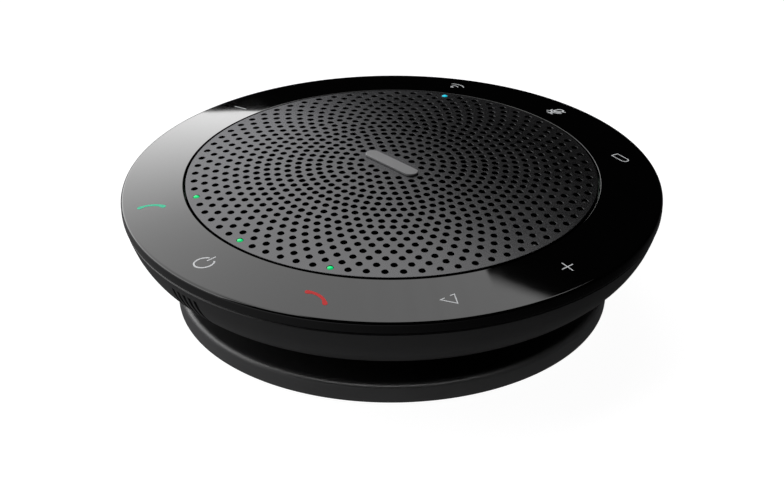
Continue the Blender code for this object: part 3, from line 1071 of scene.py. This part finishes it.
def make_bowl():
    """Lower housing with its five sound slots."""
    outer = smooth_path(
        [
            (BOWL_R, BOWL_TOP - 0.25),
            (59.1, 22.2),
            (58.0, 19.6),
            (56.3, 17.0),
            (53.6, 14.3),
            (50.6, BOWL_LOW + 0.25),
        ]
    )
    inner = [
        (28.0, BOWL_LOW),
        (28.0, 13.9),
        (49.4, 13.9),
        (53.0, 16.2),
        (55.8, 19.6),
        (57.0, 22.2),
        (58.3, 23.4),
        (58.3, BOWL_TOP),
        (BOWL_R - 0.25, BOWL_TOP),
    ]
    bowl = turned("bowl", [*outer, (50.0, BOWL_LOW), *inner])

    def slots(bm):
        for number in range(SLOT_COUNT):
            angle = math.radians(SLOT_PITCH * (number - SLOT_COUNT // 2))
            block(bm, SLOT_SIZE, SLOT_CENTRE, angle)

    carve(bowl, [slots, well_maker(HOUSING_SCREW_R, HOUSING_SCREW_ANGLES, 11.0, 13.1)])
    wear(bowl, BOWL_BLACK, stands_for=["lower_housing"])


def make_neck():
    """Neck that a cord winds round, flared where it meets the base, with the gland's hole."""
    low = 6.3
    flare = 0.6
    inner_r = NECK_R - 3.0
    outline = [
        (NECK_R, NECK_TOP),
        (NECK_R, low + flare),
        *arc((NECK_R + flare, low + flare), flare, 180, 270, 4)[1:-1],
        (NECK_R + 0.4, low),
        (inner_r, low),
        (inner_r, NECK_TOP),
    ]
    neck = turned("neck", outline, steps=192)

    def gland_hole(bm):
        aim_gland(bm, rod(bm, 2.7, 34.0, 42.0))

    carve(neck, [gland_hole])
    wear(neck, NECK_SHADE_BLACK, stands_for=["cable_spool"])


def aim_gland(bm, verts):
    """Lay an upright shape along the line on which the cord leaves the neck."""
    for angle, axis in ((90, "Y"), (GLAND_ANGLE, "Z")):
        matrix = Matrix.Rotation(math.radians(angle), 3, axis)
        bmesh.ops.rotate(bm, matrix=matrix, verts=verts)
    bmesh.ops.translate(bm, vec=Vector((0, 0, GLAND_HEIGHT)) * MM, verts=verts)


def make_gland():
    """Rubber grommet with two ribs and the hole that the cord passes through."""
    outline = [(0, 37.0), (1.6, 37.0), (1.6, 40.4), (1.8, 40.6), (2.3, 40.6), (2.4, 40.4)]
    outline += [(2.4, 39.8), (2.1, 39.7), (2.1, 39.4), (2.4, 39.3), (2.4, 34.6), (0, 34.6)]
    bm = bmesh.new()
    turn(bm, outline, steps=32, closed=False)
    aim_gland(bm, bm.verts[:])
    wear(finish_mesh(bm, "cord_grommet"), FOOT_RUBBER, stands_for=["cable_gland"])


def make_base():
    """Base plate: rounded rim, foot groove, plug dock and cord groove."""
    outline = [
        (0, 2.8),
        (34.9, 2.8),
        (34.9, 6.0),
        (39.5, 6.0),
        (BASE_R - 1.5, 5.05),
        *arc((BASE_R - 1.35, 3.75), 1.35, 82, 0, 10),
        *arc((BASE_R - 0.5, BASE_LOW + 0.5), 0.5, 0, -90, 5),
        (46.2, BASE_LOW),
        (46.2, 1.9),
        (39.4, 1.9),
        (39.4, 1.0),
        (0, 1.0),
    ]
    base = turned("base", outline)
    cord_notch = box_maker((5.2, 8.5, 8.0), (0, 45.9, 4.0))
    cord_groove = box_maker((5.2, 16.0, 5.4), (0, 34.0, 2.1))
    dock = box_maker((34.0, 12.0, 7.4), (0, 21.0, 3.7))
    dock_walls = box_maker((36.4, 14.4, 7.4), (0, 21.0, 4.9))
    groove_walls = box_maker((7.6, 13.0, 4.6), (0, 31.4, 3.5))
    wells = well_maker(BASE_SCREW_R, BASE_SCREW_ANGLES, 0.0, 2.0)
    carve(base, [cord_notch, cord_groove, dock, wells], [dock_walls, groove_walls])
    wear(base, BASE_BLACK, stands_for=["base_plate"])


def make_foot():
    """Rubber ring with three shallow grip grooves, open where the cord passes."""
    outline = [(FOOT_R, FOOT_TOP), (FOOT_R, 0.3), (FOOT_R - 0.3, 0)]
    for r in (44.2, 42.7, 41.2):
        outline += [(r + 0.25, 0), (r + 0.15, 0.25), (r - 0.15, 0.25), (r - 0.25, 0)]
    outline += [(40.0, 0), (39.7, 0.3), (39.7, FOOT_TOP)]
    foot = turned("foot", outline, steps=192)
    carve(foot, [box_maker((5.8, 12.0, 4.0), (0, 43.0, 1.0))])
    wear(foot, FOOT_RUBBER, stands_for=["foot_ring"])


# ---------------------------------------------------------------- fasteners


def screw_mesh(head_low, head_high, shank_high):
    """One cross-head screw standing on its head on the Z axis."""
    profile = [
        (0, shank_high),
        (0.7, shank_high - 0.3),
        (1.0, shank_high - 1.0),
        (1.0, head_high),
        (SCREW_HEAD_R, head_high),
        (SCREW_HEAD_R, head_low + 0.25),
        (SCREW_HEAD_R - 0.3, head_low),
        (0, head_low),
    ]
    screw = turned("screw_pattern", profile, steps=32)
    centre = (0, 0, head_low)
    carve(screw, [box_maker((2.0, 0.45, 0.9), centre), box_maker((0.45, 2.0, 0.9), centre)])
    return screw


def make_screws(name, node, radius, angles, heights):
    """A set of screws: a pattern screw instanced on points round the axis.

    heights are those of the head's two faces and of the shank's end.
    """
    pattern = screw_mesh(*heights)
    bm = bmesh.new()
    for angle in angles:
        x, y = polar(radius, angle)
        bm.verts.new(Vector((x, y, 0)) * MM)
    screws = link(mesh_of(bm, name), name)
    tree = Builder(name)
    step = tree.size("Turn between screws")
    info = tree.add("GeometryNodeObjectInfo", None, {"Object": pattern}, "Geometry")
    spin = tree.upright(tree.add("GeometryNodeInputIndex") * step)
    spots = tree.add("GeometryNodeMeshToPoints", None, {"Mesh": tree.given()})
    inputs = {"Points": spots, "Instance": info, "Rotation": spin}
    tree.end(tree.add("GeometryNodeInstanceOnPoints", None, inputs), ZINC)
    grow(screws, tree, {"Turn between screws": 0.9})
    bpy.data.objects.remove(pattern)
    nodes = [f"{node}_{number}" for number in range(1, len(angles) + 1)]
    wear(screws, ZINC, stands_for=nodes)


# ---------------------------------------------------------------- studio


VIEW_AZIMUTH = math.radians(47.2)
VIEW_ELEVATION = math.radians(29.82)
VIEW_DISTANCE = 502.3 * MM
VIEW_LENS = 101.05
# Degrees the camera is turned up and over from looking straight at the origin
VIEW_PITCH = 1.36
VIEW_ROLL = -0.24

# Lower edge of the studio's light sweep: degrees round from straight behind the object as the
# camera sees it, and degrees up
SWEEP_EDGE = (
    (-110, 12.0),
    (-73, 8.0),
    (-40, 6.0),
    (-20, 8.0),
    (-9.96, 11.42),
    (-7.02, 10.14),
    (-5.0, 13.0),
    (2.0, 27.0),
    (8.0, 41.0),
    (10.8, 45.84),
    (15.32, 44.16),
    (24.0, 43.5),
)
SWEEP_TOP = 72.0
SWEEP_DISTANCE = 4.0
# Brightness of the sweep by degrees up
SWEEP_SHINE = ((10.0, 3.95), (32.0, 2.4), (49.0, 1.95), (72.0, 2.5))
# Right of this, the lower edge is soft: the sweep reaches full brightness so many degrees up
SWEEP_FADE_FROM = -5
SWEEP_FADE = 0.5
# From left to right the sweep dims to a share of itself, fully below the lower of two heights
# and not at all above the upper one
SWEEP_DIM_ROUND = (-8.0, 3.0)
SWEEP_DIM_TO = 0.05
SWEEP_DIM_UP = (33.0, 41.0)

EDGE_LIGHT_UP = (48.0, 56.0)
EDGE_LIGHT_DISTANCE = 1.0
# Brightness of the edge light by degrees round
EDGE_LIGHT_SHINE = ((100, 14.0), (150, 7.0), (180, 9.0), (215, 16.0), (260, 30.0))

# Tones of the dark room by height, where 0 is straight down and a half is the horizon
ROOM_TONES = ((0.3, 0.08), (0.45, 0.2), (0.5, 0.4), (0.52, 0.25), (0.53, 0.0))


def between(table, at):
    """Straight-line reading of a table of (place, value) pairs."""
    for (a, low), (b, high) in zip(table, table[1:]):
        if at <= b:
            return low + (high - low) * max(0.0, (at - a) / (b - a))
    return table[-1][1]


def look(azimuth, elevation):
    """Unit vector from the object: degrees round from straight behind it, and degrees up."""
    around, up = math.radians(azimuth), math.radians(elevation)
    away = Vector((-math.sin(VIEW_AZIMUTH), math.cos(VIEW_AZIMUTH), 0))
    right = Vector((math.cos(VIEW_AZIMUTH), math.sin(VIEW_AZIMUTH), 0))
    flat = away * math.cos(around) + right * math.sin(around)
    return flat * math.cos(up) + Vector((0, 0, math.sin(up)))


def dome_light(name, columns, rows, span, shine_at, distance):
    """A piece of a glowing dome round the object, out of the camera's sight.

    span gives the lower and upper height of a column in degrees, shine_at the brightness. Rows
    crowd towards the lower edge.
    """
    crowding = 1.5
    bm = bmesh.new()
    shine = bm.verts.layers.float.new("shine")
    grid = []
    for around in columns:
        low, high = span(around)
        line = []
        for i in range(rows + 1):
            up = low + (high - low) * (i / rows) ** crowding
            vert = bm.verts.new(look(around, up) * distance)
            vert[shine] = shine_at(around, up, low)
            line.append(vert)
        grid.append(line)
    for a, b in zip(grid, grid[1:]):
        for i in range(rows):
            bm.faces.new((a[i], b[i], b[i + 1], a[i + 1]))
    made = finish_mesh(bm, name)
    shade = Shade(name)
    strength = shade.add("ShaderNodeAttribute", {"attribute_name": "shine"}, output="Fac")
    glow = shade.add("ShaderNodeEmission", None, {"Strength": strength})
    shade.put(shade.nodes["Material Output"].inputs["Surface"], glow)
    made.data.materials.append(shade.material)
    made.visible_camera = False
    return made


def make_sweep():
    """Large curved diffuser behind and to the left: the pale sweep mirrored in the ring."""
    columns = []
    for (a, _), (b, _) in zip(SWEEP_EDGE, SWEEP_EDGE[1:]):
        count = max(1, round((b - a) / 4))
        columns += [a + (b - a) * i / count for i in range(count)]
    columns.append(SWEEP_EDGE[-1][0])

    def shine_at(around, up, low):
        fade = min(1.0, (up - low) / SWEEP_FADE) if around > SWEEP_FADE_FROM else 1.0
        dim = between(tuple(zip(SWEEP_DIM_ROUND, (1.0, SWEEP_DIM_TO))), around)
        dim = between(tuple(zip(SWEEP_DIM_UP, (dim, 1.0))), up)
        return between(SWEEP_SHINE, up) * fade * dim

    def span(around):
        return between(SWEEP_EDGE, around), SWEEP_TOP

    dome_light("light_sweep", columns, 24, span, shine_at, SWEEP_DISTANCE)


def make_edge_light():
    """Narrow light on the camera's side that only the base answers to."""
    columns = [180 + 6 * i for i in range(-16, 17)]

    def shine_at(around, *_):
        return between(EDGE_LIGHT_SHINE, around)

    def span(_):
        return EDGE_LIGHT_UP

    light = dome_light("edge_light", columns, 2, span, shine_at, EDGE_LIGHT_DISTANCE)
    only_base = bpy.data.collections.new("edge_light_falls_on")
    only_base.objects.link(bpy.data.objects["base"])
    light.light_linking.receiver_collection = only_base


def make_floor():
    """White floor that carries its own light and isn't mirrored in the object."""
    bm = bmesh.new()
    bmesh.ops.create_grid(bm, x_segments=1, y_segments=1, size=6.0)
    floor = finish_mesh(bm, "floor")
    shade = Shade("floor_white")
    tone = shade.noise(300.0, 2.0)
    shade.finish(
        Base_Color=shade.blend(tone, grey(0.2), grey(0.22)),
        Roughness=0.9,
        Specular_IOR_Level=0.0,
        Emission_Color=(1.0, 1.0, 1.0),
        Emission_Strength=0.97,
    )
    floor.data.materials.append(shade.material)
    floor.visible_glossy = False


def make_world():
    """White to the camera, and to the finishes a dark room, palest at the horizon and left."""
    world = bpy.data.worlds.new("studio")
    bpy.context.scene.world = world
    world.use_nodes = True
    tree = Tree(world.node_tree)
    place = tree.add("ShaderNodeTexCoord", output="Generated")
    _, _, up = tree.parts(place)
    room = tree.nodes.new("ShaderNodeValToRGB")
    tree.put(room.inputs["Fac"], up.math("MULTIPLY_ADD", up, 0.5, 0.5))
    stops = room.color_ramp.elements
    stops[0].position, stops[0].color = 0.0, (*grey(0.06), 1)
    stops[1].position, stops[1].color = 1.0, (0, 0, 0, 1)
    for where, tone in ROOM_TONES:
        stops.new(where).color = (*grey(tone), 1)
    inputs = {0: place, 1: -0.9 * look(90, 0)}
    left = tree.add("ShaderNodeVectorMath", {"operation": "DOT_PRODUCT"}, inputs, "Value")
    dark = tree.nodes["Background"]
    tree.put(dark.inputs["Color"], Value(tree, room.outputs["Color"]))
    tree.put(dark.inputs["Strength"], (left + 1.0) ** 1.7)
    camera_ray = tree.add("ShaderNodeLightPath", output="Is Camera Ray")
    white = tree.add("ShaderNodeBackground", None, {"Color": (1, 1, 1, 1)})
    inputs = {0: camera_ray, 1: Value(tree, dark.outputs[0]), 2: white}
    both = tree.add("ShaderNodeMixShader", None, inputs)
    tree.put(tree.nodes["World Output"].inputs["Surface"], both)


def make_camera():
    camera = bpy.data.cameras.new("camera")
    camera.sensor_width = 36
    camera.lens = VIEW_LENS
    made = bpy.data.objects.new("camera", camera)
    bpy.context.scene.collection.objects.link(made)
    side = Vector((math.sin(VIEW_AZIMUTH), -math.cos(VIEW_AZIMUTH), 0))
    raised = side * math.cos(VIEW_ELEVATION) + Vector((0, 0, math.sin(VIEW_ELEVATION)))
    spot = raised * VIEW_DISTANCE
    aim = (-spot).to_track_quat("-Z", "Y").to_matrix()
    pitch = Matrix.Rotation(math.radians(VIEW_PITCH), 3, "X")
    roll = Matrix.Rotation(math.radians(VIEW_ROLL), 3, "Z")
    made.matrix_world = Matrix.Translation(spot) @ (aim @ pitch @ roll).to_4x4()
    bpy.context.scene.camera = made


# ---------------------------------------------------------------- put together


make_camera()
make_ring()
make_white_prints()
make_call_prints()
make_grille()
make_badge()
make_cloth()
make_lights()
make_bowl()
make_neck()
make_gland()
make_base()
make_foot()
make_screws("base_screws", "base_screw", BASE_SCREW_R, BASE_SCREW_ANGLES, (1.1, 1.8, 13.5))
make_screws(
    "housing_screws", "housing_screw", HOUSING_SCREW_R, HOUSING_SCREW_ANGLES, (12.2, 12.8, 20.2)
)

for entry in frame["record"]["subparts"]:
    node = frame["nodes"][entry["node"]]
    node.data.materials.clear()
    node.data.materials.append(SLOT_FINISH[entry["material_slot"]])

make_floor()
make_sweep()
make_edge_light()
make_world()

bpy.context.scene.view_settings.view_transform = "Standard"
